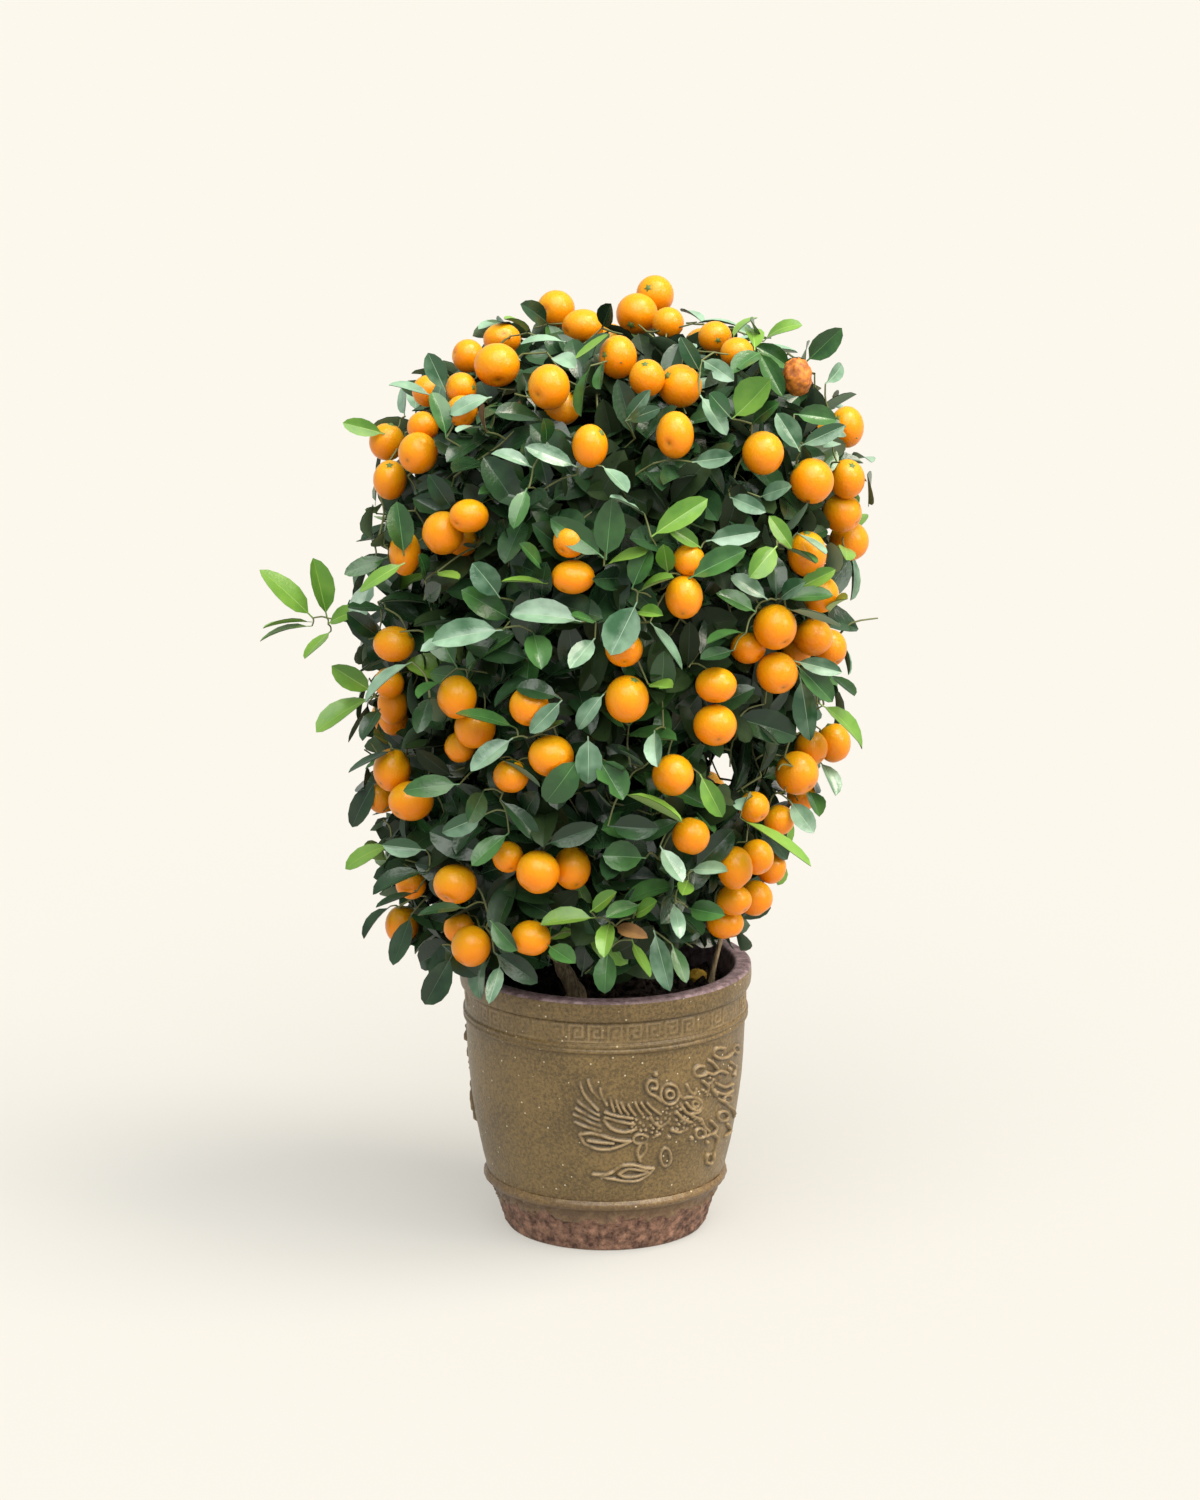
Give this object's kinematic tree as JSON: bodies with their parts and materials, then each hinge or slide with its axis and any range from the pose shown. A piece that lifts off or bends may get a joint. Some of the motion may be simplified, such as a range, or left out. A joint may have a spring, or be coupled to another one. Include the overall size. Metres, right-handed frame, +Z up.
{
  "type": "potted calamondin tree",
  "caption": "Small evergreen citrus tree clipped to an upright dome and covered in orange fruit, growing in a round relief-decorated stoneware pot; stands on the pot's flat underside.",
  "frame": {"origin": "middle of the pot's flat underside", "axes": "+Z up along the plant's height; -Y is the front, the side with the raised ornament on the pot; +X is the viewer's right"},
  "size_m": [0.4976, 0.4125, 0.7827],
  "materials": {
    "pot": "semi-gloss glaze",
    "soil": "matte",
    "bark": "matte",
    "foliage": "satin"
  },
  "bodies": {
    "root": {"bough_high_back_left": "bark", "bough_high_back_right": "bark", "bough_high_front_left": "bark", "bough_high_front_right": "bark", "bough_high_left": "bark", "bough_high_right": "bark", "bough_low_back_left": "bark", "bough_low_back_right": "bark", "bough_low_front_left": "bark", "bough_low_front_right": "bark", "bough_low_left": "bark", "bough_middle_back": "bark", "bough_middle_front": "bark", "bough_middle_left_back": "bark", "bough_middle_left_front": "bark", "bough_middle_right_back": "bark", "bough_middle_right_front": "bark", "foliage_high_back_left": "foliage", "foliage_high_back_right": "foliage", "foliage_high_front_left": "foliage", "foliage_high_front_right": "foliage", "foliage_high_left": "foliage", "foliage_high_right": "foliage", "foliage_low_back_left": "foliage", "foliage_low_back_right": "foliage", "foliage_low_front_left": "foliage", "foliage_low_front_right": "foliage", "foliage_low_left": "foliage", "foliage_low_right": "foliage", "foliage_middle_back": "foliage", "foliage_middle_front": "foliage", "foliage_middle_left_back": "foliage", "foliage_middle_left_front": "foliage", "foliage_middle_right_back": "foliage", "foliage_middle_right_front": "foliage", "foliage_top": "foliage", "leader_back": "bark", "leader_left": "bark", "leader_right": "bark", "pot": "pot", "soil": "soil", "stem_right": "bark", "trunk": "bark"}
  },
  "joints": []
}
